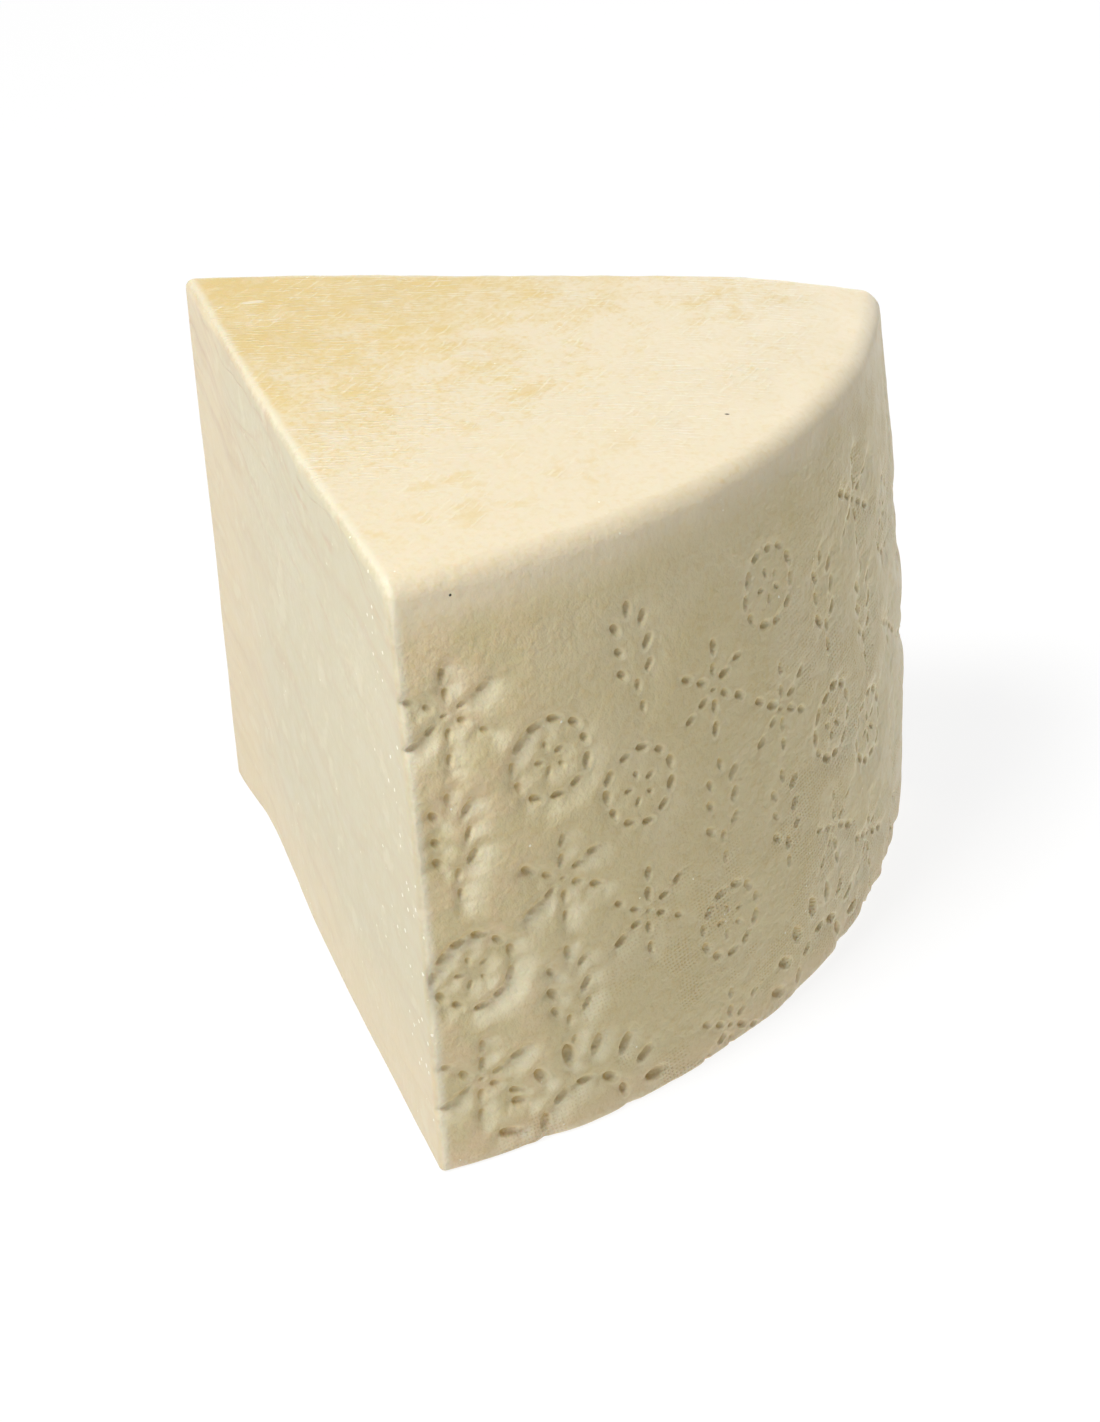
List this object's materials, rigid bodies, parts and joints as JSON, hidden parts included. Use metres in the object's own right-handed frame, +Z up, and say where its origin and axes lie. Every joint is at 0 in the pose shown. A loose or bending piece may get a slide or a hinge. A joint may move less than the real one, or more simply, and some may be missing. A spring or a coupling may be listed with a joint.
{
  "type": "pecorino romano chunk",
  "caption": "Tall wedge of hard sheep's-milk cheese cut from a drum-shaped wheel, with a rounded rim and a rind punched with dotted ornament.",
  "frame": {"origin": "centre of the bounding box at the cut base, which rests on the surface", "axes": "+Z up along the wheel's axis, -Y towards the punched rind, +Y towards the upright edge that was the wheel's axis, +X across the rind"},
  "size_m": [0.1678, 0.1534, 0.1245],
  "materials": {
    "cheese": "satin, waxy cream paste with a thin pale ochre rind"
  },
  "bodies": {
    "root": {"cheese_chunk": "cheese"}
  },
  "joints": []
}
